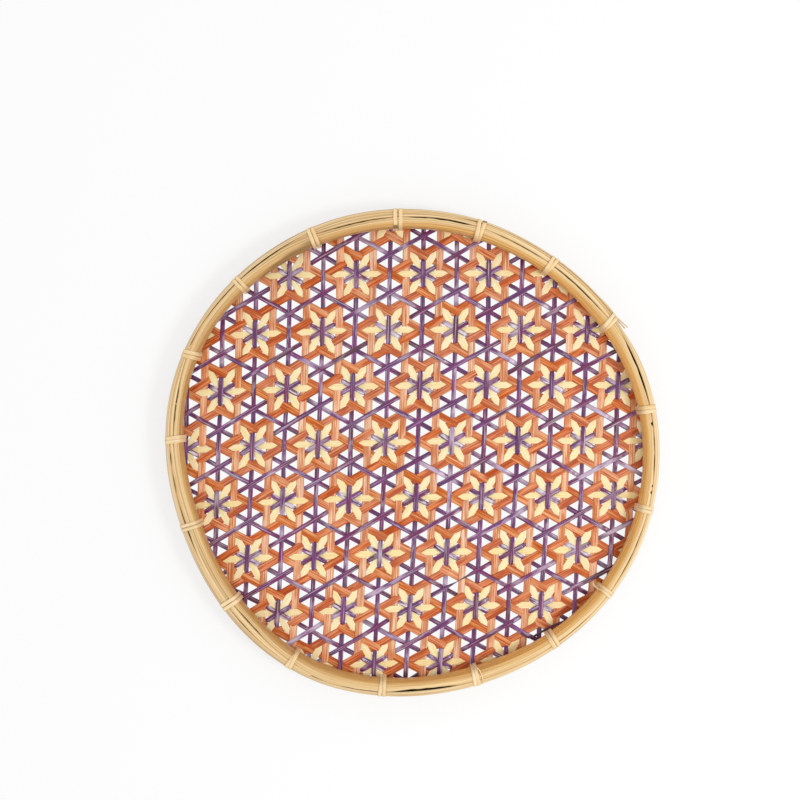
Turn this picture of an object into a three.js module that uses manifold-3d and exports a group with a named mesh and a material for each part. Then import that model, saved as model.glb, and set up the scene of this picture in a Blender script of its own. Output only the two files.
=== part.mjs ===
// Round woven wall basket: an open-weave bamboo mat clamped between two bent hoops and lashed with cane.
// Millimetres and degrees. The tray lies on its back: +Z points out of the open face, +Y is up on the wall.
import * as THREE from "three";
import { mergeVertices } from "three/addons/utils/BufferGeometryUtils.js";
import Module from "manifold-3d";

// Rim: two hoops of split bamboo with a round cane wedged between them
const RIM_RADIUS = 173.5; // mean outer radius of the outer hoop
const HOOP_HEIGHT = 21.6; // both hoops end level at the top
const OUTER_HOOP_THICKNESS = 2.6;
const OUTER_HOOP_EDGE = 0.8; // chamfer of its two outer edges
const INNER_HOOP_THICKNESS = 5.4;
const INNER_HOOP_CROWN = 2; // chamfer of its top inner edge
const INNER_HOOP_FOOT = 0.8; // chamfer of its bottom inner edge
const RIM_CANE_DIAMETER = 3.3;
const BUTT_GAP = 0.8; // between the two ends of one hoop
const HOOP_STEP_DEG = 5;

// The hand-bent rim is a little out of round: each row swells it by that much at evenly spaced lobes
const OUT_OF_ROUND = [
  { lobes: 2, swell: 1.2, peakDeg: -17.5 },
  { lobes: 3, swell: 1.6, peakDeg: 5.5 },
  { lobes: 4, swell: 1.0, peakDeg: -25 },
  { lobes: 5, swell: 0.6, peakDeg: 25 },
];

// Lap of the outer hoop: its thinned ends overlap between two lashings, and the outer end springs free
const LAP_TIP_THICKNESS = 0.8;
const LAP_RAMP_DEG = 6;
const FREE_END_LENGTH = 9.5; // past the middle of the last lashing
const FREE_END_FLARE = 3;

// Lashings: flat cane wound round the whole rim, counter-clockwise from the right
const LASHING_WIDTH = 2.3;
const LASHING_THICKNESS = 0.8;
const LASHING_TURNS = 2;
const LASHING_TURN_GAP = 0.6;
const LASHING_CORNER = 0.6; // chamfer where it bends round the rim
const LASHING_ANGLES_DEG = [
  10.2, 33.1, 53.1, 72.6, 93.0, 114.3, 135.4, 156.2, 177.1, 198.6, 219.8, 240.4, 263.3, 286.2, 307.1, 324.5,
  346.3,
];
const LAP_FROM_LASHING = 3;
const LAP_TO_LASHING = 1;
const INNER_BUTT_LASHING = 6;
const CANE_BUTT_LASHING = 10;

// Weave: a star pattern, stars in tilted rows, each row one step lower and shifted sideways
const STRIP_THICKNESS = 0.5;
const LAYER_GAP = 0.1;
const ORANGE_WIDTH = 5;
const PURPLE_WIDTH = 3;
const CREAM_WIDTH = 5;
const STAR_PITCH = 47.8; // between neighbouring stars of one row
const ROW_TILT_DEG = 1.2;
const ROW_DROP = 39.8;
const ROW_SHIFT = 22.3;
const STAR_X = -19.2; // the star nearest the middle of the tray
const STAR_Y = 6.5;

// Clearances
const CLEARANCE = 0.3;
const LASHING_CLEARANCE = 0.4;

// Layers of the mat from the back to the front
const STACK = [
  { strip: "orange", run: "upright" },
  { strip: "orange", run: "rising" },
  { strip: "orange", run: "falling" },
  { strip: "cream", run: "level" },
  { strip: "cream", run: "left_leaning" },
  { strip: "cream", run: "right_leaning" },
  { strip: "purple", run: "falling" },
  { strip: "purple", run: "rising" },
  { strip: "purple", run: "upright" },
];
const STRIP_WIDTHS = { orange: ORANGE_WIDTH, purple: PURPLE_WIDTH, cream: CREAM_WIDTH };

// Purple and cream strips run through the stars, orange ones halfway between
const STRIP_OFFSETS = { orange: 0.5, purple: 0, cream: 0 };

// Heights: lashing underneath, the stack of strips, then the inner hoop
const SEAT_Z = LASHING_THICKNESS + CLEARANCE;
const LAYER_PITCH = STRIP_THICKNESS + LAYER_GAP;
const MAT_TOP_Z = SEAT_Z + STACK.length * LAYER_PITCH - LAYER_GAP;
const RIM_TOP_Z = SEAT_Z + HOOP_HEIGHT;

// Insets from the rim's outer radius
const OUTER_HOOP_INSET = OUTER_HOOP_THICKNESS;
const INNER_HOOP_OUT_INSET = OUTER_HOOP_INSET + RIM_CANE_DIAMETER + 2 * CLEARANCE;
const INNER_HOOP_IN_INSET = INNER_HOOP_OUT_INSET + INNER_HOOP_THICKNESS;
const BORDER_OUT_INSET = OUTER_HOOP_INSET + CLEARANCE;
const BORDER_IN_INSET = INNER_HOOP_IN_INSET - CLEARANCE;
const LASHING_LEG_INSET = INNER_HOOP_IN_INSET + LASHING_CLEARANCE + LASHING_THICKNESS / 2;
const LASHING_BUNDLE = LASHING_TURNS * LASHING_WIDTH + (LASHING_TURNS - 1) * LASHING_TURN_GAP;

const MATERIALS = {
  bamboo: { color: 0xd9ae6a, roughness: 0.55 },
  cane: { color: 0xe6c384, roughness: 0.6 },
  lashing: { color: 0xf0d9a8, roughness: 0.5 },
  orange: { color: 0xd8692c, roughness: 0.65 },
  purple: { color: 0x5f3a6e, roughness: 0.35 },
  cream: { color: 0xf8e0a0, roughness: 0.7 },
};

const wasm = await Module();
wasm.setup();

const basket = new THREE.Group();
basket.name = "woven_wall_basket";

function addPiece(name, geometry, finish) {
  const mesh = new THREE.Mesh(geometry, new THREE.MeshStandardMaterial(MATERIALS[finish]));
  mesh.name = name;
  basket.add(mesh);
}

function numbered(name, index) {
  return `${name}_${String(index + 1).padStart(2, "0")}`;
}

// Booleans

function solidFrom(geometry) {
  const plain = geometry.clone();
  plain.deleteAttribute("normal");
  plain.deleteAttribute("uv");
  const merged = mergeVertices(plain);
  return new wasm.Manifold(
    new wasm.Mesh({
      numProp: 3,
      vertProperties: merged.attributes.position.array,
      triVerts: new Uint32Array(merged.index.array),
    }),
  );
}

function geometryFrom(solid) {
  const { vertProperties, triVerts } = solid.getMesh();
  const geometry = new THREE.BufferGeometry();
  geometry.setAttribute("position", new THREE.BufferAttribute(new Float32Array(vertProperties), 3));
  geometry.setIndex(new THREE.BufferAttribute(new Uint32Array(triVerts), 1));
  geometry.computeVertexNormals();
  return geometry;
}

// What is left of a strip after cutting: the stub that a lashing cuts off its end falls away
function largestBody(solid) {
  return solid.decompose().reduce((best, body) => (body.volume() > best.volume() ? body : best));
}

// Rim outline

const radians = THREE.MathUtils.degToRad;

function rimRadius(angleDeg) {
  return OUT_OF_ROUND.reduce((radius, { lobes, swell, peakDeg }) => {
    return radius + swell * Math.cos(radians(lobes * (angleDeg - peakDeg)));
  }, RIM_RADIUS);
}

function rimPoint(angleDeg, inset, z) {
  const radius = rimRadius(angleDeg) - inset;
  return new THREE.Vector3(radius * Math.cos(radians(angleDeg)), radius * Math.sin(radians(angleDeg)), z);
}

function arcDegrees(length) {
  return THREE.MathUtils.radToDeg(length / RIM_RADIUS);
}

function rimOutline(inset) {
  const points = [];
  for (let angle = 0; angle < 360; angle += HOOP_STEP_DEG) {
    const point = rimPoint(angle, inset, 0);
    points.push(new THREE.Vector2(point.x, point.y));
  }
  return points;
}

// A flat plate inside the rim, optionally cut out inside a second inset
function rimPlate(outerInset, innerInset, z, thickness) {
  const shape = new THREE.Shape(rimOutline(outerInset));
  if (innerInset !== null) shape.holes.push(new THREE.Path(rimOutline(innerInset)));
  return new THREE.ExtrudeGeometry(shape, { depth: thickness, bevelEnabled: false }).translate(0, 0, z);
}

// Angles at the common step, so that neighbouring rings share their facets, plus the given ones
function hoopAngles(fromDeg, toDeg, extras = []) {
  const angles = [fromDeg, ...extras, toDeg];
  const firstStep = Math.ceil(fromDeg / HOOP_STEP_DEG) * HOOP_STEP_DEG;
  for (let angle = firstStep; angle < toDeg; angle += HOOP_STEP_DEG) angles.push(angle);
  const closest = HOOP_STEP_DEG / 25;
  return angles.sort((a, b) => a - b).filter((angle, i, all) => i === 0 || angle - all[i - 1] > closest);
}

// A closed skin over a row of equal rings of points, capped at both ends
function sweepRings(rings) {
  const count = rings[0].length;
  const last = (rings.length - 1) * count;
  const index = [];
  for (let i = 0; i < last; i += count) {
    for (let j = 0; j < count; j++) {
      const next = (j + 1) % count;
      index.push(i + j, i + count + next, i + next);
      index.push(i + j, i + count + j, i + count + next);
    }
  }
  for (let j = 1; j + 1 < count; j++) {
    index.push(0, j, j + 1);
    index.push(last, last + j + 1, last + j);
  }
  const geometry = new THREE.BufferGeometry().setFromPoints(rings.flat());
  geometry.setIndex(index);
  geometry.computeVertexNormals();
  return geometry;
}

// A section given as inset and height pairs, anticlockwise with the rim's outside on the right
function sweepHoop(angles, sectionAt) {
  return sweepRings(angles.map((angle) => sectionAt(angle).map(([inset, z]) => rimPoint(angle, inset, z))));
}

// Hoops

const lapFrom = LASHING_ANGLES_DEG[LAP_FROM_LASHING];
const lapTo = LASHING_ANGLES_DEG[LAP_TO_LASHING];
const freeEnd = lapTo - arcDegrees(FREE_END_LENGTH);
const flareFrom = lapTo - arcDegrees(LASHING_BUNDLE / 2 + LASHING_CLEARANCE);
const lapThickest = OUTER_HOOP_THICKNESS - LAP_TIP_THICKNESS - CLEARANCE;

// Thickness of the outer layer along the lap: thin at its free end
function lapLayerThickness(angle) {
  const share = THREE.MathUtils.clamp((angle - lapTo) / (lapFrom - lapTo), 0, 1);
  return THREE.MathUtils.lerp(LAP_TIP_THICKNESS, lapThickest, share);
}

function outerHoopSection(angle) {
  let outer = 0;
  let inner = OUTER_HOOP_INSET;
  const turned = angle - 360;
  if (angle < flareFrom) outer = -FREE_END_FLARE * ((flareFrom - angle) / (flareFrom - freeEnd)) ** 2;
  if (angle <= lapFrom) inner = outer + lapLayerThickness(angle);
  else if (angle < lapFrom + LAP_RAMP_DEG)
    inner = THREE.MathUtils.lerp(lapThickest, OUTER_HOOP_INSET, (angle - lapFrom) / LAP_RAMP_DEG);
  else if (turned >= freeEnd) outer = lapLayerThickness(turned) + CLEARANCE;
  else if (turned > freeEnd - LAP_RAMP_DEG)
    outer = ((LAP_TIP_THICKNESS + CLEARANCE) * (turned - freeEnd + LAP_RAMP_DEG)) / LAP_RAMP_DEG;
  const edge = Math.min(OUTER_HOOP_EDGE, (inner - outer) / 2);
  return [
    [inner, SEAT_Z],
    [outer + edge, SEAT_Z],
    [outer, SEAT_Z + edge],
    [outer, RIM_TOP_Z - edge],
    [outer + edge, RIM_TOP_Z],
    [inner, RIM_TOP_Z],
  ];
}

function addOuterHoop() {
  const end = 360 + lapFrom - arcDegrees(BUTT_GAP);
  const extras = [flareFrom, lapTo, lapFrom, lapFrom + LAP_RAMP_DEG];
  extras.push((freeEnd + flareFrom) / 2, 360 + freeEnd - LAP_RAMP_DEG, 360 + freeEnd, 360 + lapTo);
  addPiece("outer_hoop", sweepHoop(hoopAngles(freeEnd, end, extras), outerHoopSection), "bamboo");
}

function buttedAngles(lashing) {
  const middle = LASHING_ANGLES_DEG[lashing];
  const halfGap = arcDegrees(BUTT_GAP / 2);
  return hoopAngles(middle + halfGap, middle + 360 - halfGap);
}

function addInnerHoop() {
  const bottom = MAT_TOP_Z + CLEARANCE;
  const section = [
    [INNER_HOOP_IN_INSET - INNER_HOOP_FOOT, bottom],
    [INNER_HOOP_OUT_INSET, bottom],
    [INNER_HOOP_OUT_INSET, RIM_TOP_Z],
    [INNER_HOOP_IN_INSET - INNER_HOOP_CROWN, RIM_TOP_Z],
    [INNER_HOOP_IN_INSET, RIM_TOP_Z - INNER_HOOP_CROWN],
    [INNER_HOOP_IN_INSET, bottom + INNER_HOOP_FOOT],
  ];
  addPiece("inner_hoop", sweepHoop(buttedAngles(INNER_BUTT_LASHING), () => section), "bamboo");
}

function addRimCane() {
  const radius = RIM_CANE_DIAMETER / 2;
  const middleInset = OUTER_HOOP_INSET + CLEARANCE + radius;
  const sides = 8;
  const section = [];
  for (let i = 0; i < sides; i++) {
    const turn = ((i + 0.5) * 2 * Math.PI) / sides;
    section.push([middleInset - radius * Math.cos(turn), RIM_TOP_Z - radius + radius * Math.sin(turn)]);
  }
  addPiece("rim_cane", sweepHoop(buttedAngles(CANE_BUTT_LASHING), () => section), "cane");
}

// Lashings

// Local directions of the rim at an angle: along it and straight out of it
function rimFrame(angleDeg) {
  const nearby = HOOP_STEP_DEG / 10;
  const along = rimPoint(angleDeg + nearby, 0, 0).sub(rimPoint(angleDeg - nearby, 0, 0)).normalize();
  const out = new THREE.Vector3(along.y, -along.x, 0);
  return { base: rimPoint(angleDeg, 0, 0), along, out };
}

// One turn as inset and height: up the inside, over the top, down the outside and back underneath
function lashingTurn() {
  const inside = LASHING_LEG_INSET;
  const outside = -LASHING_CLEARANCE - LASHING_THICKNESS / 2;
  const under = LASHING_THICKNESS / 2;
  const over = RIM_TOP_Z + LASHING_CLEARANCE + LASHING_THICKNESS / 2;
  return [
    [inside, under + LASHING_CORNER],
    [inside, over - LASHING_CORNER],
    [inside - LASHING_CORNER, over],
    [outside + LASHING_CORNER, over],
    [outside, over - LASHING_CORNER],
    [outside, under + LASHING_CORNER],
    [outside + LASHING_CORNER, under],
    [inside - LASHING_CORNER, under],
  ];
}

// The whole winding as inset, height and place along the rim; it steps sideways on each run underneath
function lashingPath() {
  const turn = lashingTurn();
  const path = [];
  const pitch = LASHING_WIDTH + LASHING_TURN_GAP;
  for (let k = 0; k < LASHING_TURNS; k++) {
    turn.forEach(([inset, z], i) => {
      const stepped = i === turn.length - 1 ? k + 1 : k;
      path.push({ inset, z, along: (stepped - (LASHING_TURNS - 1) / 2) * pitch });
    });
  }
  return path.slice(0, path.length - 2);
}

// Unit normals of the path in its inset and height plane, lengthened at bends to keep the thickness
function lashingNormals(path) {
  const sides = path.slice(1).map((point, i) => {
    const run = new THREE.Vector2(point.inset - path[i].inset, point.z - path[i].z).normalize();
    return new THREE.Vector2(-run.y, run.x);
  });
  return path.map((point, i) => {
    const before = sides[Math.max(i - 1, 0)];
    const after = sides[Math.min(i, sides.length - 1)];
    const middle = before.clone().add(after).normalize();
    return middle.divideScalar(middle.dot(after));
  });
}

function lashingGeometry(angleDeg) {
  const { base, along, out } = rimFrame(angleDeg);
  const path = lashingPath();
  const normals = lashingNormals(path);
  const corners = [
    [-1, -1],
    [1, -1],
    [1, 1],
    [-1, 1],
  ];
  const rings = path.map((point, i) =>
    corners.map(([side, face]) => {
      const inset = point.inset + (face * normals[i].x * LASHING_THICKNESS) / 2;
      const place = base.clone().addScaledVector(out, -inset);
      place.addScaledVector(along, point.along + (side * LASHING_WIDTH) / 2);
      place.z = point.z + (face * normals[i].y * LASHING_THICKNESS) / 2;
      return place;
    }),
  );
  return sweepRings(rings);
}

// Least distance between the turns of one lashing, measured on points spread along them
function lashingSelfGap() {
  const path = lashingPath().map((point) => new THREE.Vector3(point.inset, point.along, point.z));
  const turnPoints = lashingTurn().length;
  const samples = [];
  const perRun = 12;
  for (let i = 0; i + 1 < path.length; i++) {
    for (let k = 0; k < perRun; k++) {
      const share = k / perRun;
      samples.push({ turn: (i + share) / turnPoints, place: path[i].clone().lerp(path[i + 1], share) });
    }
  }
  let least = Infinity;
  for (const one of samples) {
    for (const other of samples) {
      if (other.turn - one.turn > 0.5) least = Math.min(least, one.place.distanceTo(other.place));
    }
  }
  return least - LASHING_WIDTH;
}

function addLashings() {
  LASHING_ANGLES_DEG.forEach((angle, i) => {
    addPiece(numbered("lashing", i), lashingGeometry(angle), "lashing");
  });
  console.log(`least gap of a lashing to itself: ${lashingSelfGap().toFixed(2)} mm`);
}

// Weave

const star = new THREE.Vector2(STAR_X, STAR_Y);
const across = new THREE.Vector2(STAR_PITCH, 0).rotateAround(new THREE.Vector2(), radians(ROW_TILT_DEG));
const down = new THREE.Vector2(ROW_SHIFT, -ROW_DROP);

function latticePoint(u, v) {
  return star.clone().addScaledVector(across, u).addScaledVector(down, v);
}

// Six directions of strips: a run between two lattice points, and the step from one strip to the next
const RUNS = {
  upright: { along: [-1, 2], step: [0.5, 0] },
  rising: { along: [2, -1], step: [0, 0.5] },
  falling: { along: [1, 1], step: [1, 0] },
  level: { along: [1, 0], step: [0, 1] },
  left_leaning: { along: [0, 1], step: [1, 0] },
  right_leaning: { along: [-1, 1], step: [1, 0] },
};

// Bars of one layer, long enough to cross the rim everywhere, counted from the star nearest the middle.
// A bar that would run along under the edge of the inner hoop is left out.
function barsOfLayer({ strip, run }, layerZ) {
  const { along, step } = RUNS[run];
  const heading = latticePoint(...along).sub(star).normalize();
  const sideways = new THREE.Vector2(-heading.y, heading.x);
  const reach = RIM_RADIUS - INNER_HOOP_IN_INSET - STRIP_WIDTHS[strip];
  const bars = [];
  const most = Math.ceil((4 * RIM_RADIUS) / Math.min(STAR_PITCH, ROW_DROP));
  for (let count = -most; count <= most; count++) {
    const steps = count + STRIP_OFFSETS[strip];
    const distance = latticePoint(step[0] * steps, step[1] * steps).dot(sideways);
    if (Math.abs(distance) > reach) continue;
    const middle = sideways.clone().multiplyScalar(distance);
    const bar = new THREE.BoxGeometry(3 * RIM_RADIUS, STRIP_WIDTHS[strip], STRIP_THICKNESS);
    bar.rotateZ(heading.angle());
    bar.translate(middle.x, middle.y, layerZ + STRIP_THICKNESS / 2);
    bars.push({ count, solid: solidFrom(bar) });
  }
  return bars;
}

// Slots in the mat through which the inner legs of the lashings pass
function lashingSlots() {
  const depth = LASHING_THICKNESS + 2 * LASHING_CLEARANCE;
  const slots = LASHING_ANGLES_DEG.map((angle) => {
    const { base, along, out } = rimFrame(angle);
    const slot = new THREE.BoxGeometry(depth, LASHING_BUNDLE + 2 * LASHING_CLEARANCE, 2 * RIM_TOP_Z);
    slot.rotateZ(Math.atan2(-along.x, along.y));
    const middle = base.clone().addScaledVector(out, -LASHING_LEG_INSET);
    slot.translate(middle.x, middle.y, 0);
    return solidFrom(slot);
  });
  return slots.reduce((all, slot) => all.add(slot));
}

const slots = lashingSlots();
const matArea = solidFrom(rimPlate(BORDER_OUT_INSET, null, 0, RIM_TOP_Z));

// All strips of one layer in one piece: their ends run on along the rim as a border between the hoops
function addBorderedStrips(layer, layerZ) {
  const border = rimPlate(BORDER_OUT_INSET, BORDER_IN_INSET, layerZ, STRIP_THICKNESS);
  const bars = barsOfLayer(layer, layerZ).map((bar) => bar.solid);
  const field = bars.reduce((all, bar) => all.add(bar)).intersect(matArea);
  const strips = field.add(solidFrom(border)).subtract(slots);
  addPiece(`${layer.strip}_${layer.run}_strips`, geometryFrom(largestBody(strips)), layer.strip);
}

function placeName(count) {
  if (count === 0) return "middle";
  return count > 0 ? `plus_${count}` : `minus_${-count}`;
}

// The strips of one layer as separate pieces, clamped at their ends only
function addSingleStrips(layer, layerZ) {
  for (const { count, solid } of barsOfLayer(layer, layerZ)) {
    const strip = largestBody(solid.intersect(matArea).subtract(slots));
    addPiece(`${layer.strip}_${layer.run}_${placeName(count)}`, geometryFrom(strip), layer.strip);
  }
}

addOuterHoop();
addInnerHoop();
addRimCane();
addLashings();
STACK.forEach((layer, i) => {
  const layerZ = SEAT_Z + i * LAYER_PITCH;
  if (layer.strip === "cream") addSingleStrips(layer, layerZ);
  else addBorderedStrips(layer, layerZ);
});

export default basket;
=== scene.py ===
import math
import random

import bpy
import numpy as np
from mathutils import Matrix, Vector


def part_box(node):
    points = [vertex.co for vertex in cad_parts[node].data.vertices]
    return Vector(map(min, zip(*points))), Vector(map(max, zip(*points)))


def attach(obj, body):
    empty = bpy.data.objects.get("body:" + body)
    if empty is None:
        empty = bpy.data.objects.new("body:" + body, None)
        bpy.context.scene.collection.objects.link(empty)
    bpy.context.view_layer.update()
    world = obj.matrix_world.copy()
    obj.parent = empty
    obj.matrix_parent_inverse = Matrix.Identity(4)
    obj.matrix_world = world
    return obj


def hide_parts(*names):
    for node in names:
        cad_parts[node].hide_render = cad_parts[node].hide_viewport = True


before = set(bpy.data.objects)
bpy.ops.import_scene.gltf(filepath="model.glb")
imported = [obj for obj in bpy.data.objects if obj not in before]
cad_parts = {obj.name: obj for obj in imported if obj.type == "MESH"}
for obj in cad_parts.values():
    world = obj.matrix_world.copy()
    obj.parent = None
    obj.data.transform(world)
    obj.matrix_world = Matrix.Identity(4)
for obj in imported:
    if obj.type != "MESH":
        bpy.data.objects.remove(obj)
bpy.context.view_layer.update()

# Round woven wall basket. Lengths are in millimetres and angles in degrees until a mesh is written.
MM = 0.001
scene = bpy.context.scene
scene.view_settings.view_transform = "Standard"
chance = random.Random(362)

# Rim outline, as in the part: a mean radius plus swells at evenly spaced lobes (lobes, swell, peak angle)
RIM_RADIUS = 173.5
OUT_OF_ROUND = [(2, 1.2, -17.5), (3, 1.6, 5.5), (4, 1.0, -25), (5, 0.6, 25)]
SEAT_Z = 1.1
RIM_TOP_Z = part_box("inner_hoop")[1].z / MM
LASHING_ANGLES = [
    10.2, 33.1, 53.1, 72.6, 93.0, 114.3, 135.4, 156.2, 177.1,
    198.6, 219.8, 240.4, 263.3, 286.2, 307.1, 324.5, 346.3,
]
# The outer hoop laps between two lashings, and the inner hoop and the cane butt under one each
LAP_FROM = LASHING_ANGLES[3]
LAP_TO = LASHING_ANGLES[1]
INNER_BUTT = LASHING_ANGLES[6]
CANE_BUTT = LASHING_ANGLES[10]
BUTT_GAP_DEG = 0.26
# Angle from ring to ring of a swept hoop
HOOP_STEP = 0.4

# Layers of the hand-split rim by angle, as insets from the outline: the outer hoop's outer face, the seam
# inside it, the seam outside the inner hoop, and the inner hoop's inner face
RIM_LAYERS = [
    (0, -0.9, 2.3, 2.7, 8.5),
    (12, -1.2, 2.3, 2.7, 9.0),
    (25, -0.8, 2.4, 2.9, 9.7),
    (38, -0.6, 1.9, 5.0, 10.8),
    (60, 0.0, 2.0, 5.5, 11.7),
    (72, -0.4, 2.0, 5.0, 12.2),
    (80, -0.1, 2.0, 4.9, 12.4),
    (90, 0.2, 2.0, 5.9, 12.7),
    (108, -0.2, 2.1, 6.4, 12.7),
    (124, 0.1, 3.2, 3.7, 11.8),
    (140, 0.2, 3.0, 3.4, 9.8),
    (152, 0.2, 2.4, 2.8, 9.4),
    (163, -0.1, 2.2, 5.2, 9.8),
    (176, -0.2, 2.4, 5.6, 11.0),
    (198, 0.2, 3.6, 7.8, 12.6),
    (228, 0.1, 3.4, 8.0, 12.4),
    (238, 0.0, 3.0, 6.0, 11.4),
    (248, -0.4, 1.9, 2.2, 10.6),
    (260, -0.3, 2.0, 2.3, 10.2),
    (270, -0.6, 3.0, 3.3, 10.1),
    (286, -1.0, 2.2, 2.5, 10.2),
    (300, -0.4, 2.0, 2.3, 9.4),
    (315, -0.1, 1.9, 2.2, 8.5),
    (338, -0.7, 2.3, 2.6, 8.2),
]
# The layers are averaged over this many degrees each way
LAYER_SOFTENING = 4

# Stretches where a seam gapes: middle angle, half span, width. Elsewhere the pieces are pressed.
OPEN_SEAMS = {
    "outer": [
        (2, 3, 0.4), (6.7, 0.5, 1.2), (20.5, 11, 0.92), (126, 13, 0.62), (141, 8, 0.45),
        (181.5, 2.5, 0.6), (187.5, 3, 0.6), (199, 9, 0.65), (225, 6, 0.46), (258, 7, 0.42),
        (273, 10.5, 1.3), (312, 9, 0.34), (335, 11, 0.48), (350.5, 0.5, 1.0), (352, 0.4, 0.9),
        (357, 4, 0.5),
    ],
    "inner": [
        (44.4, 12.5, 0.82), (62, 11, 0.6), (80.5, 8.5, 1.05), (88, 5, 0.75), (103.4, 14, 0.7),
        (169, 8, 0.7), (227, 7, 0.7),
    ],
}
PRESSED = -0.25
# Ragged edges of a gaping seam: share of its width, and waves (lobes, phase)
RAGGED = 0.07
RAGGED_WAVES = [(41, 1), (73, 2.2), (113, 0.4)]
# A pressed seam shows this share of painted shade, which deepens as the seam opens to these widths
PRESSED_TONE = 0.08
SEAM_DARKENS = (0.05, 0.6)
# Room between the hoops with which the cane starts to show, and shows fully
CANE_SHOWS = (0.4, 1.1)

# Weave, as in the part: stars in tilted rows
STAR = np.array([-19.2, 6.5])
STAR_PITCH = 47.8
ROW_TILT = math.radians(1.2)
ACROSS = STAR_PITCH * np.array([math.cos(ROW_TILT), math.sin(ROW_TILT)])
DOWN = np.array([22.3, -39.8])
CREAM_PITCHES = {
    "level": STAR_PITCH,
    "left_leaning": np.linalg.norm(DOWN),
    "right_leaning": np.linalg.norm(DOWN - ACROSS),
}
# Lattice steps along the strips of a run, and from one strip to the next
RUNS = {
    "upright": ((-1, 2), (0.5, 0)),
    "rising": ((2, -1), (0, 0.5)),
    "falling": ((1, 1), (1, 0)),
    "level": ((1, 0), (0, 1)),
    "left_leaning": ((0, 1), (1, 0)),
    "right_leaning": ((-1, 1), (1, 0)),
}
DYED_RUNS = ("upright", "rising", "falling")
CREAM_RUNS = ("level", "left_leaning", "right_leaning")
# Counts of strips from the middle star: the dyed ones that are tried, and the cream ones
DYED_COUNTS = range(-16, 17)
CREAM_COUNTS = range(-3, 5)
ORANGE_WIDTH = 5.15
PURPLE_WIDTH = 3.3
CREAM_WIDTHS = {"level": 4.7, "left_leaning": 5.05, "right_leaning": 5.05}
STRIP_THICKNESS = 0.36
MAT_Z = 3.9
# Length from ring to ring of a strip
STATIONS = {"orange": 1.1, "purple": 1.1, "cream": 0.7}
# Lattice steps along a strip at which its ends are looked for. They lie this far inside the outline, and a
# strip that stays beyond the reach is left out.
STRIP_SEARCH = np.linspace(-6, 6, 2401)
STRIP_END_INSET = 3.3
EDGE_STRIP_REACH = 163.5

# Unevenness of the strips by hand, and the lengths and phases of its swings along them
STRIP_WIDTH_SPREAD = (0.95, 1.05)
STRIP_OFFSET = 0.35
STRIP_WANDER = 0.28
WANDER_LENGTHS = (22, 34)
STRIP_WAVER = 0.03
WAVER_LENGTHS = (12, 20)
STRIP_ROLL = 0.03
ROLL_LENGTHS = (9, 15)
SWING_PHASES = (0, 6)

# Heights of the strips above the middle of the mat
ORANGE_WAVE = 0.21
ORANGE_DIP = 0.36
PURPLE_STAR = {"upright": 0.98, "rising": 0.67, "falling": 0.36}
PURPLE_ASTERISK = {"upright": 0.0, "rising": 0.32, "falling": -0.32}
PURPLE_UNDER = -0.8
PURPLE_OVER = 0.96
CREAM_STAR = {"level": -0.5, "left_leaning": -0.22, "right_leaning": 0.0}
CREAM_PETAL = 0.04
CREAM_UNDER = -0.24
# A cream strip climbs this far from a star, and dives this near to the edges of the oranges it goes under
CREAM_CLIMBS = (5.5, 9.3)
CREAM_DIVES = (-0.9, 0.1)

# Shares of purple skin with a painted highlight on a star, and with painted highlight and wear over both
# oranges; painted shade where it is tucked under, and dark where worn
STAR_PAINTED_HIGHLIGHT = {"upright": 0.0, "rising": 0.25, "falling": 0.9}
OVER_HIGHLIGHT_AND_WEAR = 0.3
TUCKED_PAINTED_SHADE = 0.4
WORN_DARK = 0.7
# One purple strip is worn to a thread for a stretch: its run and count, place across, half length, share left
WORN_STRIP = ("rising", 5)
WORN_PLACE = -0.04
WORN_HALF = 0.34
WORN_LEFT = 0.14


# Materials
# A noise is cycles per mm along and across the fibres, and its detail. A mark is its noise, the stretch of it
# over which the mark sets in, its share and its colour.
STRIP_LINES = (0.025, 1.5, 4.0)
STRIP_PATCHES = (0.05, 0.3, 2.0)
PATCH_SETS_IN = (0.5, 0.66)
FADED_SETS_IN = (0.48, 0.34)
STRIP_RELIEF = 0.25
RIM_LINES = (0.012, 1.2, 4.0)
RIM_STREAKS = ((0.01, 0.75, 3.0), (0.55, 0.68), 0.55)
RIM_HAIRLINES = ((0.005, 1.35, 1.0), (0.59, 0.66), 0.4, (122, 84, 48))
RIM_ROUGHNESS = (0.36, 0.52)
RIM_RELIEF = 0.4
# Brown of painted shade in seams and down the inner wall, also of the brown wedge and the lashings' spots
SHADE_AND_SPOT_BROWN = (58, 36, 18)
PURPLE_DYE = (0.016, 0.06, 3.0)
DYE_TONES = [(0.36, (86, 34, 58)), (0.46, (120, 28, 94)), (0.54, (94, 40, 98)), (0.64, (128, 54, 120))]
PURPLE_LINES = (0.03, 1.6, 4.0)
PURPLE_LINE_VALUES = (0.7, 1.36)
PURPLE_FADING = ((0.034, 0.12, 3.0), (0.54, 0.68), 0.85, (206, 182, 206))
FADING_BY_PIECE = (-0.09, 0.07)
# Pale fibre lines, partly painted glints
PURPLE_PALE_LINES_AND_GLINTS = ((0.025, 1.9, 2.0), (0.56, 0.66), 0.7, (216, 200, 214))
# Silvery painted highlight, partly wear, on purple skin where tint X says
PURPLE_HIGHLIGHT_AND_WEAR = ((0.09, 0.5, 3.0), (0.5, 0.6), 0.9, (238, 230, 234))
PURPLE_ROUGHNESS = (0.2, 0.34)
PURPLE_RELIEF = 0.3
# Width of the painted shade along the edges, its share and its colour, and the colour of painted shade where
# a strip is tucked under, which also darkens worn stretches
PURPLE_EDGE_SHADE = (0.5, 0.55, (56, 26, 46))
PURPLE_SHADE_AND_WORN_DARK = (50, 24, 40)
# Stretch that holds nearly all of the line noise, and places of its dark, middle and pale tones
LINE_RANGE = (0.3, 0.7)
LINE_STOPS = (0.32, 0.5, 0.68)
RELIEF_DEPTH = 0.12
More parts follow.
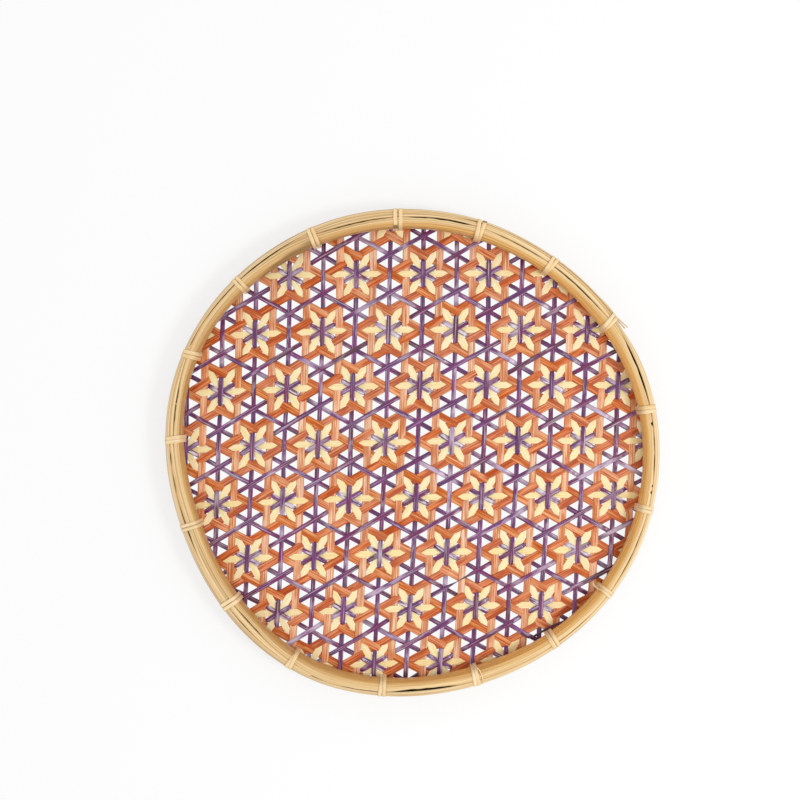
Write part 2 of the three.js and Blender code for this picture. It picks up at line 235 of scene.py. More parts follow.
# Spreads the pieces' own numbers apart in the noise, and draws a second number from the first
PIECE_SPREAD = 60
SECOND_NUMBER = 7.3


def srgb(red, green, blue):
    """A colour as it looks on screen, 0 to 255, as Blender's linear values."""
    parts = []
    for part in (red, green, blue):
        share = part / 255
        parts.append(share / 12.92 if share <= 0.04045 else ((share + 0.055) / 1.055) ** 2.4)
    return (*parts, 1.0)


def add_node(tree, kind, settings=None, inputs=None):
    """A shader node with its settings, and inputs that are either values or sockets to link."""
    made = tree.nodes.new("ShaderNode" + kind)
    for key, value in (settings or {}).items():
        setattr(made, key, value)
    for key, value in (inputs or {}).items():
        if isinstance(value, bpy.types.NodeSocket):
            tree.links.new(value, made.inputs[key])
        else:
            made.inputs[key].default_value = value
    return made


def maths(tree, operation, first, second=0.0):
    return add_node(tree, "Math", {"operation": operation}, {0: first, 1: second}).outputs[0]


def new_material(name):
    material = bpy.data.materials.new(name)
    material.use_nodes = True
    tree = material.node_tree
    return material, tree, tree.nodes["Principled BSDF"]


def fibre_noise(tree, noise):
    """Noise drawn out along the fibres, which the fibre attribute gives."""
    per_mm_along, per_mm_across, detail = noise
    fibre = add_node(tree, "Attribute", {"attribute_name": "fibre"})
    stretch = (per_mm_along, per_mm_across, PIECE_SPREAD)
    scaled = add_node(tree, "VectorMath", {"operation": "MULTIPLY"}, {0: fibre.outputs["Vector"], 1: stretch})
    inputs = {"Vector": scaled.outputs[0], "Scale": 1.0, "Detail": detail, "Roughness": 0.6}
    return add_node(tree, "TexNoise", {}, inputs).outputs["Fac"]


def ramp(tree, fac, stops):
    """Colours by value, from places and tones."""
    made = add_node(tree, "ValToRGB", {}, {"Fac": fac})
    elements = made.color_ramp.elements
    while len(elements) < len(stops):
        elements.new(0.5)
    for element, (place, tone) in zip(elements, stops):
        element.position = place
        element.color = srgb(*tone)
    return made.outputs["Color"]


def map_range(tree, value, *limits):
    """A value carried from the stretch of the first two limits to that of the last two."""
    return add_node(tree, "MapRange", {}, dict(enumerate((value, *limits)))).outputs["Result"]


def mix_colour(tree, fac, first, second):
    return add_node(tree, "Mix", {"data_type": "RGBA"}, {0: fac, 6: first, 7: second}).outputs[2]


def marked(tree, colour, noise, sets_in, share, tone):
    """Mixes in a tone where a noise rises."""
    return mix_colour(tree, map_range(tree, noise, *sets_in, 0.0, share), colour, srgb(*tone))


def attribute_value(tree, name, axis):
    """fibre holds mm along, mm across and the piece's own number, and tint holds shares of other tones."""
    attribute = add_node(tree, "Attribute", {"attribute_name": name})
    return add_node(tree, "SeparateXYZ", {}, {0: attribute.outputs["Vector"]}).outputs[axis]


def edge_shaded(tree, colour, half_width, rim, share, tone):
    """Mixes in painted shade towards the two long edges of a strip."""
    away = maths(tree, "ABSOLUTE", attribute_value(tree, "fibre", "Y"))
    return marked(tree, colour, away, (half_width - rim, half_width), share, tone)


def shade_ramp(tree, lines, shades):
    """Dark, middle and pale fibres."""
    return ramp(tree, lines, list(zip(LINE_STOPS, shades)))


def finish_surface(tree, shader, colour, lines, roughness, relief):
    """Links a colour, and lets the fibre lines vary the roughness and stand out."""
    tree.links.new(colour, shader.inputs["Base Color"])
    tree.links.new(map_range(tree, lines, *LINE_RANGE, *roughness), shader.inputs["Roughness"])
    bump = add_node(tree, "Bump", {}, {"Strength": relief, "Distance": RELIEF_DEPTH * MM, "Height": lines})
    tree.links.new(bump.outputs["Normal"], shader.inputs["Normal"])


# edge gives the half width of the strip, and the width, share and colour of painted shade along its long
# edges
def strip_material(name, shades, patch, faded, roughness, saturation, value, edge, spotted=False, shine=0.5):
    """Split strip: fibre lines, dark and pale patches, painted shade at the edges, spots and a tone for each
    piece.
    """
    material, tree, shader = new_material(name)
    lines = fibre_noise(tree, STRIP_LINES)
    colour = shade_ramp(tree, lines, shades)
    patches = fibre_noise(tree, STRIP_PATCHES)
    colour = marked(tree, colour, patches, PATCH_SETS_IN, *patch)
    colour = marked(tree, colour, patches, FADED_SETS_IN, *faded)
    colour = edge_shaded(tree, colour, *edge)
    if spotted:
        colour = mix_colour(tree, attribute_value(tree, "tint", "Y"), colour, srgb(*SHADE_AND_SPOT_BROWN))
    number = attribute_value(tree, "fibre", "Z")
    other = maths(tree, "FRACT", maths(tree, "MULTIPLY", number, SECOND_NUMBER))
    inputs = {
        "Saturation": map_range(tree, other, 0.0, 1.0, *saturation),
        "Value": map_range(tree, number, 0.0, 1.0, *value),
        "Color": colour,
    }
    toned = add_node(tree, "HueSaturation", {}, inputs)
    shader.inputs["Specular IOR Level"].default_value = shine
    finish_surface(tree, shader, toned.outputs["Color"], lines, roughness, STRIP_RELIEF)
    return material


def rim_material(name, shades, wall, other, streak):
    """Split bamboo: fibre lines, streaks and hairlines. tint places the wall tone, painted shade and other
    tones.
    """
    material, tree, shader = new_material(name)
    lines = fibre_noise(tree, RIM_LINES)
    colour = shade_ramp(tree, lines, shades)
    colour = mix_colour(tree, attribute_value(tree, "tint", "X"), colour, shade_ramp(tree, lines, wall))
    # tint Z: painted light on the inner hoop's wall, a browner top edge on the outer hoop
    colour = mix_colour(tree, attribute_value(tree, "tint", "Z"), colour, shade_ramp(tree, lines, other))
    for noise, *mark in ((*RIM_STREAKS, streak), RIM_HAIRLINES):
        colour = marked(tree, colour, fibre_noise(tree, noise), *mark)
    colour = mix_colour(tree, attribute_value(tree, "tint", "Y"), colour, srgb(*SHADE_AND_SPOT_BROWN))
    finish_surface(tree, shader, colour, lines, RIM_ROUGHNESS, RIM_RELIEF)
    return material


def purple_material():
    """Dyed skin: plum to violet, faded to lavender in places; tint adds a silvery painted highlight, partly
    wear, and painted shade where tucked under or dark where worn.
    """
    material, tree, shader = new_material("purple_strip")
    dye = ramp(tree, fibre_noise(tree, PURPLE_DYE), DYE_TONES)
    lines = fibre_noise(tree, PURPLE_LINES)
    inputs = {"Value": map_range(tree, lines, *LINE_RANGE, *PURPLE_LINE_VALUES), "Color": dye}
    colour = add_node(tree, "HueSaturation", {}, inputs).outputs["Color"]
    by_piece = map_range(tree, attribute_value(tree, "fibre", "Z"), 0.0, 1.0, *FADING_BY_PIECE)
    noise, *mark = PURPLE_FADING
    colour = marked(tree, colour, maths(tree, "ADD", fibre_noise(tree, noise), by_piece), *mark)
    noise, *mark = PURPLE_PALE_LINES_AND_GLINTS
    colour = marked(tree, colour, fibre_noise(tree, noise), *mark)
    # Silvery painted highlight, partly wear
    noise, sets_in, share, silver = PURPLE_HIGHLIGHT_AND_WEAR
    highlight_and_wear_share = map_range(tree, fibre_noise(tree, noise), *sets_in, 0.0, share)
    highlight_and_wear_share = maths(tree, "MULTIPLY", highlight_and_wear_share, attribute_value(tree, "tint", "X"))
    colour = mix_colour(tree, highlight_and_wear_share, colour, srgb(*silver))
    colour = edge_shaded(tree, colour, PURPLE_WIDTH / 2, *PURPLE_EDGE_SHADE)
    # Painted shade where tucked under, and darker where worn, as tint Y says
    colour = mix_colour(tree, attribute_value(tree, "tint", "Y"), colour, srgb(*PURPLE_SHADE_AND_WORN_DARK))
    finish_surface(tree, shader, colour, lines, PURPLE_ROUGHNESS, PURPLE_RELIEF)
    return material


# Dark, middle and pale fibres of each run, its patches and its faded stretches. The runs differ partly in
# their own tone and partly by painted sheen, which makes the upright run paler.
ORANGE_TONES_AND_SHEEN = {
    "upright": (((184, 90, 42), (232, 155, 100), (255, 226, 198)), (204, 104, 52), (252, 208, 177)),
    "rising": (((154, 52, 10), (206, 97, 39), (246, 174, 121)), (168, 62, 12), (235, 154, 106)),
    "falling": (((158, 60, 12), (212, 110, 44), (251, 188, 135)), (182, 74, 18), (244, 180, 132)),
}
orange = {
    run: strip_material(
        f"orange_{run}", shades, patch=(0.68, patch), faded=(0.62, faded),
        roughness=(0.42, 0.58), saturation=(0.95, 1.05), value=(0.925, 1.025),
        edge=(ORANGE_WIDTH / 2, 0.6, 0.32, (148, 60, 14)), shine=0.33,
    )
    for run, (shades, patch, faded) in ORANGE_TONES_AND_SHEEN.items()
}
purple = purple_material()
CREAM_SHADES = {
    "level": ((244, 213, 148), (253, 228, 168), (255, 238, 194)),
    **dict.fromkeys(CREAM_RUNS[1:], ((248, 220, 160), (255, 235, 182), (255, 243, 208))),
}
cream = {
    run: strip_material(
        f"cream_{run}", shades, patch=(0.5, (246, 219, 152)), faded=(0.3, shades[2]),
        roughness=(0.47, 0.63), saturation=(0.95, 1.05), value=(0.98, 1.0),
        edge=(CREAM_WIDTHS[run] / 2, 0.3, 0.12, (222, 180, 108)),
    )
    for run, shades in CREAM_SHADES.items()
}
peeled_cane = strip_material(
    "peeled_cane", ((228, 188, 130), (246, 214, 162), (254, 230, 190)),
    patch=(0.5, (236, 202, 146)), faded=(0.4, (254, 228, 190)),
    roughness=(0.34, 0.5), saturation=(0.95, 1.08), value=(0.97, 1.02),
    edge=(1.35, 0.3, 0.22, (190, 144, 88)), spotted=True,
)
GOLD_WALL = ((184, 134, 70), (208, 160, 92), (224, 182, 116))
# Painted light: brighter, yellower golden tones for the lit side of the inner wall
PAINTED_LIGHT_WALL = ((234, 166, 78), (253, 193, 104), (255, 214, 140))
outer_bamboo = rim_material(
    "outer_bamboo", ((214, 174, 118), (242, 212, 160), (252, 230, 190)),
    wall=((212, 168, 104), (238, 200, 138), (248, 222, 170)),
    other=((140, 104, 72), (174, 140, 104), (202, 170, 134)),
    streak=(212, 170, 114),
)
inner_bamboo = rim_material(
    "inner_bamboo", ((212, 166, 104), (236, 201, 144), (248, 219, 168)),
    wall=GOLD_WALL, other=PAINTED_LIGHT_WALL, streak=(208, 160, 94),
)
cane = rim_material(
    "cane", ((214, 172, 112), (240, 208, 154), (252, 226, 180)),
    wall=GOLD_WALL, other=PAINTED_LIGHT_WALL, streak=(190, 142, 82),
)


# Meshes

def tube_faces(stations, around):
    """Quads between the rings of a swept piece, and a face at each end."""
    index = np.arange(stations * around).reshape(stations, around)
    turned = np.roll(index, -1, axis=1)
    quads = np.stack([index[:-1], turned[:-1], turned[1:], index[1:]], axis=-1).reshape(-1, 4)
    return [*quads.tolist(), index[0, ::-1].tolist(), index[-1].tolist()]


def add_piece(name, rings, fibre, material, nodes=(), tint=None):
    """A swept piece from rings of points, with its attributes, riding on the one body."""
    mesh = bpy.data.meshes.new(name)
    mesh.from_pydata((rings.reshape(-1, 3) * MM).tolist(), [], tube_faces(*rings.shape[:2]))
    for attribute_name, values in (("fibre", fibre), ("tint", tint)):
        if values is not None:
            attribute = mesh.attributes.new(attribute_name, "FLOAT_VECTOR", "POINT")
            attribute.data.foreach_set("vector", values.reshape(-1).astype(np.float32))
    mesh.polygons.foreach_set("use_smooth", [True] * len(mesh.polygons))
    mesh.materials.append(material)
    piece = bpy.data.objects.new(name, mesh)
    scene.collection.objects.link(piece)
    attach(piece, "root")
    if nodes:
        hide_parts(*nodes)


def fibre_grid(along, across, number):
    """The fibre attribute from the mm along a piece, the mm across it and its own number."""
    grid = np.broadcast_arrays(along[:, None], across[None, :])
    return np.stack([*grid, np.full(grid[0].shape, number)], axis=-1)


def run_length(points):
    """Length along a path up to each of its points."""
    return np.cumsum(np.linalg.norm(np.diff(points, axis=0, prepend=points[:1]), axis=1))


def plan_directions(points):
    """Directions along and square to a path in a plane."""
    tangent = np.gradient(points, axis=0)
    tangent /= np.linalg.norm(tangent, axis=1)[:, None]
    return tangent, np.stack([-tangent[:, 1], tangent[:, 0]], axis=1)


def smooth(low, high, value):
    """Rises gently from 0 at low to 1 at high."""
    share = np.clip((value - low) / (high - low), 0, 1)
    return share * share * (3 - 2 * share)


# Rim outline and layers

def rim_radius(angle):
    swells = [swell * np.cos(np.radians(lobes * (angle - peak))) for lobes, swell, peak in OUT_OF_ROUND]
    return RIM_RADIUS + sum(swells)


def rim_points(angle, inset, z):
    """Points at angles, insets and heights."""
    radius = rim_radius(angle) - inset
    turn = np.radians(angle)
    return np.stack([radius * np.cos(turn), radius * np.sin(turn), z + 0 * radius], axis=-1)


def layer_at(angle, column):
    """One column of the rim's layers, read smoothly round the rim."""
    rows = np.array(RIM_LAYERS, float)
    fine = np.arange(0, 360, 1.0)
    values = np.interp(fine, rows[:, 0], rows[:, column], period=360)
    shifts = range(-LAYER_SOFTENING, LAYER_SOFTENING + 1)
    softened = sum(np.roll(values, shift) for shift in shifts) / len(shifts)
    return np.interp(np.mod(angle, 360), fine, softened, period=360)


def away_from(angle, middle):
    """Degrees to the middle, either way round."""
    return np.abs((angle - middle + 180) % 360 - 180)


def gape_at(angle, seam):
    """Width of a seam along the rim; below zero where the two pieces press into each other."""
    turn = np.radians(angle)
    ragged = 1 + RAGGED * sum(np.cos(lobes * turn + phase) for lobes, phase in RAGGED_WAVES)
    width = PRESSED
    for middle, half, most in OPEN_SEAMS[seam]:
        away = away_from(angle, middle)
        width = np.maximum(width, PRESSED + most * ragged * (1 - smooth(0.25 * half, half, away)))
    return width


def wave(angle, size, seed):
    """A small slow unevenness along the rim."""
    pattern = random.Random(seed)
    total = 0
    for lobes in (7, 11, 16, 23):
        total += np.cos(np.radians(lobes * angle + pattern.uniform(0, 360))) * pattern.uniform(0.4, 1)
    return size * total / 3


def outer_face(angle):
    return layer_at(angle, 1)


def outer_seam(angle):
    return layer_at(angle, 2)


def inner_face(angle):
    return layer_at(angle, 4)


def cane_span(angle):
    """How much room the cane has between the two seams."""
    return layer_at(angle, 3) - outer_seam(angle)


def cane_shown(angle):
    """1 where the cane lies between the hoops at the top, 0 where they close over it."""
    return smooth(*CANE_SHOWS, cane_span(angle))


def inner_seam(angle):
    """Outer top edge of the inner hoop, after the gaping of whichever seam it borders."""
    shown = cane_shown(angle)
    gape = shown * gape_at(angle, "inner") + (1 - shown) * gape_at(angle, "outer")
    return layer_at(angle, 3) + gape


def seam_shade_share(angle, seam):
    """Share of painted shade in a seam: a faint brown line where it is pressed, dark where it opens."""
    return PRESSED_TONE + (1 - PRESSED_TONE) * smooth(*SEAM_DARKENS, gape_at(angle, seam))


def angles_from(butt):
    """Angles once round the rim, from just past a butt to just before it."""
    return np.arange(butt + BUTT_GAP_DEG, butt + 360 - BUTT_GAP_DEG, HOOP_STEP)


def sweep_hoop(name, angles, section, tones, material, nodes, number):
    """A hoop from its section at each angle, as insets and heights, and its shares of the three tones."""
    angle = np.repeat(angles[:, None], section.shape[1], axis=1)
    rings = rim_points(angle, section[..., 0], section[..., 1])
    full = section[len(angles) // 2]
    steps = np.hypot(*np.moveaxis(np.diff(full, axis=0, prepend=full[:1]), -1, 0))
    fibre = fibre_grid(np.radians(angles) * RIM_RADIUS, np.cumsum(steps), number)
    tint = np.stack([np.broadcast_to(tone, section.shape[:2]) for tone in tones], axis=-1)
    add_piece(name, rings, fibre, material, nodes, tint)


# Bars have rounded corners. Their sides get one more point this far below the top.
BAR_SHOULDER = 2.0
# Shares of a tone at the points of a bar's section: painted shade in the seam inside it, on its outside, at
# its top edge
BAR_SEAM_SHADE = np.array([1, 1, 1, 1, 1, 0.25, 0.05] + [0] * 11, float)
BAR_OUTSIDE = np.array([0] * 12 + [0, 1, 1, 1, 1, 1], float)
BAR_EDGE = np.array([0] * 8 + [0.3, 0.55, 0.8, 0.95, 1, 0.4, 0.1, 0.1, 0.1, 0.1], float)


def bar_section(outer, inner, bottom, top, corner):
    """Outline of a bar with rounded corners from insets and heights, going up the inside first."""
    points = []
    corner = np.minimum(corner, (inner - outer) / 2.2)
    for centre_inset, centre_z, start in (
        (inner - corner, bottom + corner, 270),
        (inner - corner, top - corner, 0),
        (outer + corner, top - corner, 90),
        (outer + corner, bottom + corner, 180),
    ):
        if start == 0:
            points.append((inner, top - BAR_SHOULDER))
        for step in (0, 30, 60, 90):
            turn = math.radians(start + step)
            points.append((centre_inset + corner * math.cos(turn), centre_z + corner * math.sin(turn)))
        if start == 90:
            points.append((outer, top - BAR_SHOULDER))
    return np.stack([np.stack(np.broadcast_arrays(*point), axis=-1) for point in points], axis=1)


# Outer hoop: one turn and a lap, its thinned outer end springing free past a lashing
FREE_LENGTH = 9.5
FREE_END = LAP_TO - math.degrees(FREE_LENGTH / RIM_RADIUS)
FLARE_LEAD = 0.5
FLARE_FROM = LAP_TO + math.degrees(FLARE_LEAD / RIM_RADIUS)
FREE_END_FLARE = 1.5
LAP_RAMP = 6.0
# The outer layer's share of the lap's thickness at the free end, and what it gains along the lap
LAP_SHARE = 0.26
LAP_SHARE_GAIN = 0.3
LAYER_GAP = 0.1
HOOP_CORNER = 0.52
# Drop below the inner hoop, which doubles in the lap's inner layer
OUTER_DROP = 0.25
# The free end is whittled to a low tip over a span of angles
TIP_HEIGHT = 2.2
WHITTLED_SPAN = 7
# How far the outside takes the wall's tone, and how far the top edge takes a browner tone, by angle
OUTSIDE_TONE = 0.8
EDGE_BROWN_SHARE = [
    (20, 0.1), (70, 0.35), (112, 0.4), (120, 0.85), (148, 0.7), (185, 0.8),
    (225, 0.95), (250, 0.6), (275, 0.3), (310, 0.3), (350, 0.15),
]


def lap_layer(angle):
    """Inset of the split between the two layers of the lap."""
    share = np.clip((angle - LAP_TO) / (LAP_FROM - LAP_TO), 0, 1)
    thickness = outer_seam(angle) - outer_face(angle)
    return outer_face(angle) + thickness * (LAP_SHARE + LAP_SHARE_GAIN * share)


def flare_share(angle):
    """Rises from where the free end leaves the rim to its tip."""
    return np.clip((FLARE_FROM - angle) / (FLARE_FROM - FREE_END), 0, 1)


def make_outer_hoop():
    angles = np.arange(FREE_END, 360 + LAP_FROM, HOOP_STEP)
    flare = FREE_END_FLARE * flare_share(angles) ** 1.15
    seam = outer_seam(angles)
    split = lap_layer(angles)
    turned = angles - 360
    ramp_in = np.clip((angles - LAP_FROM) / LAP_RAMP, 0, 1)
    second = np.clip((turned - FREE_END + LAP_RAMP) / LAP_RAMP, 0, 1)
    under_lap = second * (lap_layer(turned) + LAYER_GAP - outer_face(turned))
    outer = outer_face(angles) - flare + under_lap
    inner = np.where(second > 0, seam, split + (seam - split) * ramp_in - flare)
    top = RIM_TOP_Z - OUTER_DROP + wave(angles, 0.22, 5) - OUTER_DROP * second
    bottom = SEAT_Z + 0.1 + wave(angles, 0.15, 6)
    whittled = 1 - smooth(FLARE_FROM - 0.5, FLARE_FROM + WHITTLED_SPAN, angles)
    bottom = bottom + (top - bottom - TIP_HEIGHT) * whittled
    section = bar_section(outer + 0.05, inner, bottom, top, HOOP_CORNER)
    single = smooth(LAP_FROM - 1, LAP_FROM + LAP_RAMP, angles)
    # Painted shade in the seam inside the hoop, away from the lap
    dark = BAR_SEAM_SHADE * (seam_shade_share(angles, "outer") * single)[:, None]
    skin = np.interp(np.mod(angles, 360), *zip(*EDGE_BROWN_SHARE), period=360)
    tones = (BAR_OUTSIDE * OUTSIDE_TONE, dark, BAR_EDGE * skin[:, None])
    sweep_hoop("outer_hoop_band", angles, section, tones, outer_bamboo, ["outer_hoop"], 0.31)


# A second thin end that springs free outside the lapped one. Its edges are given below the rim's top.
SLIVER_SPAN = 9
SLIVER_HALF = 0.36
SLIVER_OUTSIDE = 0.55
SLIVER_FLARE = 2.5
SLIVER_TUCK = 0.9
SLIVER_LOWER = 2.6
SLIVER_UPPER = 0.4
SLIVER_CORNER = 0.3
SLIVER_STEP = 0.3


def make_free_sliver():
    rooted = LAP_TO + SLIVER_SPAN
    angles = np.arange(FREE_END - 0.15, rooted, SLIVER_STEP)
    flare = flare_share(angles) ** 1.1
    tuck = SLIVER_TUCK * smooth(LAP_TO + 1, rooted, angles)
    middle = outer_face(angles) - SLIVER_OUTSIDE - SLIVER_FLARE * flare + tuck
    thin = SLIVER_HALF * (1 - 0.7 * smooth(LAP_TO + 3, rooted, angles)) * (1 - 0.3 * flare)
    lower = np.full_like(angles, RIM_TOP_Z - SLIVER_LOWER)
    upper = np.full_like(angles, RIM_TOP_Z - SLIVER_UPPER)
    section = bar_section(middle - thin, middle + thin, lower, upper, SLIVER_CORNER)
    sweep_hoop("outer_hoop_sliver", angles, section, (0, 0, 0), outer_bamboo, [], 0.77)


# Inner hoop
# The inner wall takes painted light, strongest at this angle
PAINTED_LIGHT_SIDE = 2
# A brown wedge on the wall starts at one lashing and reaches further along the lower it lies
WEDGE_FROM = LASHING_ANGLES[5]
WEDGE_SPAN = 18
WEDGE_SHARE = 0.46
# Painted shade on stretches of the wall: share, middle angle, and the degrees from it where it starts and
# ends to fade
LOW_SHADE = (0.07, 270, 20, 45)
DEEP_SHADE = (0.24, 86, 18, 40)
# The cane sinks this far where the hoops close over it, and twice as far where their seam gapes
CANE_SINK = 4.0
# The inner hoop's lower edge lies above the mat, and its ledge for the cane below the rim's top
HOOP_OVER_MAT = 1.75
LEDGE_DEPTH = 4.4


def cane_sink(angle):
    """How far the cane lies below the tops of the hoops."""
    gaping = smooth(0.6, 1.4, gape_at(angle, "outer"))
    return (1 - cane_shown(angle)) * (CANE_SINK + CANE_SINK * gaping) + 0.3


def brown_wedge(angle, depth):
    """Share of the brown wedge at a depth of 0.35 to 1 down the wall."""
    reach = WEDGE_FROM + WEDGE_SPAN * (depth - 0.35) / 0.65
    turned = np.mod(angle, 360)
    begun = WEDGE_SHARE * smooth(WEDGE_FROM - 2, WEDGE_FROM, turned)
    return begun * (1 - smooth(reach - 3, reach + 1, turned))


def shaded(angle, share, middle, full, none):
    return share * (1 - smooth(full, none, away_from(angle, middle)))


def make_inner_hoop():
    angles = angles_from(INNER_BUTT)
    seam = inner_seam(angles)
    face = inner_face(angles) + wave(angles, 0.25, 8)
    under = outer_seam(angles) + 0.3
    top = RIM_TOP_Z + wave(angles, 0.2, 9)
    ledge = RIM_TOP_Z - LEDGE_DEPTH - cane_sink(angles)
    bottom = MAT_Z + HOOP_OVER_MAT
    width = face - seam
    shade = shaded(angles, *LOW_SHADE)
    deep = shaded(angles, *DEEP_SHADE)
    shown = cane_shown(angles)
    # Painted shade in whichever seam borders the inner hoop
    dark = shown * seam_shade_share(angles, "inner") + (1 - shown) * seam_shade_share(angles, "outer")
    lowest = np.maximum(brown_wedge(angles, 1), deep)
    # inset, height, share of the wall's tone, share of the shade brown: painted shade in the seam, on the
    # ledge, down the wall and near the mat, with the brown wedge
    rows = [
        (under, bottom + 0.4, 0, dark),
        (under, ledge - 0.4, 0, dark),
        (under + 0.8, ledge, 0, dark),
        (seam + 0.35, ledge + 0.5, 0, dark),
        (seam, top - 2.4, 0, dark),
        (seam + 0.06, top - 0.65, 0, 0.3 * dark),
        (seam + 0.36, top - 0.12, 0, 0),
        (seam + 0.28 * width, top, 0, 0),
        (seam + 0.5 * width, top - 0.3, 0.3, brown_wedge(angles, 0.5) + 0.3 * shade),
        (seam + 0.7 * width, top - 1.2, 0.7, brown_wedge(angles, 0.7) + 0.8 * shade),
        (seam + 0.87 * width, top - 3.2, 1, np.maximum(brown_wedge(angles, 0.87), 0.5 * deep) + shade),
        (seam + 0.97 * width, top - 5.8, 1, np.maximum(brown_wedge(angles, 0.97), deep) + shade),
        (face, top - 8.8, 1, lowest),
        (face - 0.15, bottom + 4.6, 1, lowest),
        # Painted shade near the mat
        (face - 0.7, bottom + 1.6, 1, 0.1),
        (face - 1.6, bottom + 0.3, 1, 0.2),
        (0.5 * (face + under), bottom, 1, 0),
    ]
    columns = [np.stack([np.broadcast_to(value, angles.shape) for value in row], axis=-1) for row in rows]
    table = np.stack(columns, axis=1)[:, ::-1]
    wall = table[..., 2]
    # Painted light on the wall, strongest on one side
    painted_light = 0.5 + 0.5 * np.cos(np.radians(angles - PAINTED_LIGHT_SIDE))
    tones = (wall, table[..., 3], wall * smooth(0.15, 0.8, painted_light)[:, None])
    section = table[..., :2]
    sweep_hoop("inner_hoop_band", angles, section, tones, inner_bamboo, ["inner_hoop"], 0.52)


# Rim cane: half its height, half its width where the hoops close over it, and points round it
CANE_HALF_HEIGHT = 1.65
CANE_HALF_HIDDEN = 1.6
CANE_SIDES = 14


def make_rim_cane():
    angles = angles_from(CANE_BUTT)
    seam = outer_seam(angles)
    span = cane_span(angles)
    shown = cane_shown(angles)
    gape = gape_at(angles, "outer")
    half = shown * 0.5 * (span - gape) + (1 - shown) * CANE_HALF_HIDDEN
    centre = seam + half + shown * gape + (1 - shown) * 0.25
    turn = np.linspace(0, 2 * math.pi, CANE_SIDES, endpoint=False)
    inset = centre[:, None] - half[:, None] * np.cos(turn)
    middle_z = RIM_TOP_Z - CANE_HALF_HEIGHT - cane_sink(angles) + wave(angles, 0.2, 12)
    z = middle_z[:, None] + CANE_HALF_HEIGHT * np.sin(turn)
    section = np.stack([inset, z], axis=-1)[:, ::-1]
    low = (1 - smooth(-0.1, 0.75, np.sin(turn)))[::-1]
    # Painted shade under the cane in an open seam, and all over it where the hoops close over it
    dark = np.maximum(seam_shade_share(angles, "outer"), seam_shade_share(angles, "inner"))
    crevice = np.maximum(low[None, :] * dark[:, None], (1 - shown)[:, None])
    sweep_hoop("rim_cane_rod", angles, section, (0, crevice, 0), cane, ["rim_cane"], 0.66)


# Lashings
LASHING_WIDTH = 2.75
LASHING_WIDTH_SPREAD = (0.92, 1.08)
LASHING_THICKNESS = 0.44
# A lashing bends more sharply over an inner hoop that is narrower than this
LASHING_SHOULDER = 7.0
# Each lashing by hand: lean of its inner side along the rim, and gaps between its turns outside and inside
LASHING_LIE = [
    (0.3, 0.0, 0.15), (-2.2, 0.4, -0.8), (0.2, 0.6, -1.0), (-0.5, 0.9, -0.8), (0.2, 1.1, 0.8),
    (0.3, 0.3, 0.5), (0.1, 0.6, 0.1), (-1.6, 0.2, 0.3), (-1.4, 0.0, 0.0), (0.4, 0.3, 0.2),
    (0.9, 0.4, 0.2), (0.6, 0.2, -1.8), (0.6, 0.3, -0.9), (0.9, 0.1, -0.4), (0.6, 0.2, 0.3),
    (0.2, 0.3, -1.0), (-0.2, 0.2, 0.1),
]
# Where the turns cross, the second lies over the first from this height and this share of the way inward
CROSSING_Z = 20
CROSSING_INWARD = 0.8
# Brown spots in the cane: the lashing counted from 0, which turn, and which side of the rim
LASHING_SPOTS = {3: (0, "outside"), 4: (1, "inside")}
SPOT_SHARE = 0.75
SPOT_LOWEST = {"inside": 15.5, "outside": 20.5}
# Outline of the flat cane in half widths and half thicknesses
LASHING_SECTION = [
    (-1, 0), (-0.94, 0.75), (-0.65, 1.0), (0, 1.05), (0.65, 1.0),
    (0.94, 0.75), (1, 0), (0.9, -0.8), (-0.9, -0.8),
]
# The rim's direction is taken from points this many degrees to either side
CHORD_HALF = 0.5


def rounded_path(points, rounds):
    """Corner cutting of an open path of rows."""
    for _ in range(rounds):
        ahead = 0.75 * points[:-1] + 0.25 * points[1:]
        behind = 0.25 * points[:-1] + 0.75 * points[1:]
        middle = np.stack([ahead, behind], axis=1).reshape(-1, points.shape[1])
        points = np.concatenate([points[:1], middle, points[-1:]])
    return points


def lashing_turn(angle, face):
    """One turn as inset and height: up the inside, over the top, down the outside and back underneath."""
    top = RIM_TOP_Z + 0.3
    skin = outer_face(angle) - 0.35
    shoulder = min(1, (face - inner_seam(angle)) / LASHING_SHOULDER)
    return [
        (face + 0.2, 1.2),
        (face + 0.45, 6.0),
        (face + 0.5, 13.5),
        (face + 0.35, 17.5),
        (face - 0.4, 20.3),
        (face - 2.0 * shoulder, 22.3),
        (face - 4.2 * shoulder, top),
        (2.4, top),
        (skin + 0.9, top - 0.1),
        (skin, top - 0.9),
        (skin, top - 3.5),
        (skin, 12.0),
        (skin, 3.0),
        (skin + 0.2, 1.1),
        (skin + 1.4, 0.4),
        (face - 1.0, 0.4),
    ]


def wind_cane(name, angle, path, width, thickness, spot, nodes):
    """A flat cane along a path of insets, heights and places along the rim at one angle."""
    _, normal = plan_directions(path[:, :2])
    start, end = rim_points(np.array([angle - CHORD_HALF, angle + CHORD_HALF]), 0, 0)
    along = (end - start) / np.linalg.norm(end - start)
    out = np.array([along[1], -along[0], 0])
    up = np.array([0, 0, 1])
    base = rim_points(angle, 0, 0)
    rings = []
    for side, face_up in LASHING_SECTION:
        inset = path[:, 0] + face_up * normal[:, 0] * thickness / 2
        z = path[:, 1] + face_up * normal[:, 1] * thickness / 2
        offset = path[:, 2] + side * width / 2
        rings.append(base - inset[:, None] * out + offset[:, None] * along + z[:, None] * up)
    rings = np.stack(rings, axis=1)
    across = np.array([side for side, _ in LASHING_SECTION]) * LASHING_WIDTH / 2
    fibre = fibre_grid(run_length(path), across, chance.random())
    tint = np.zeros(rings.shape)
    tint[..., 1] = spot[:, None]
    add_piece(name, rings, fibre, peeled_cane, nodes, tint)


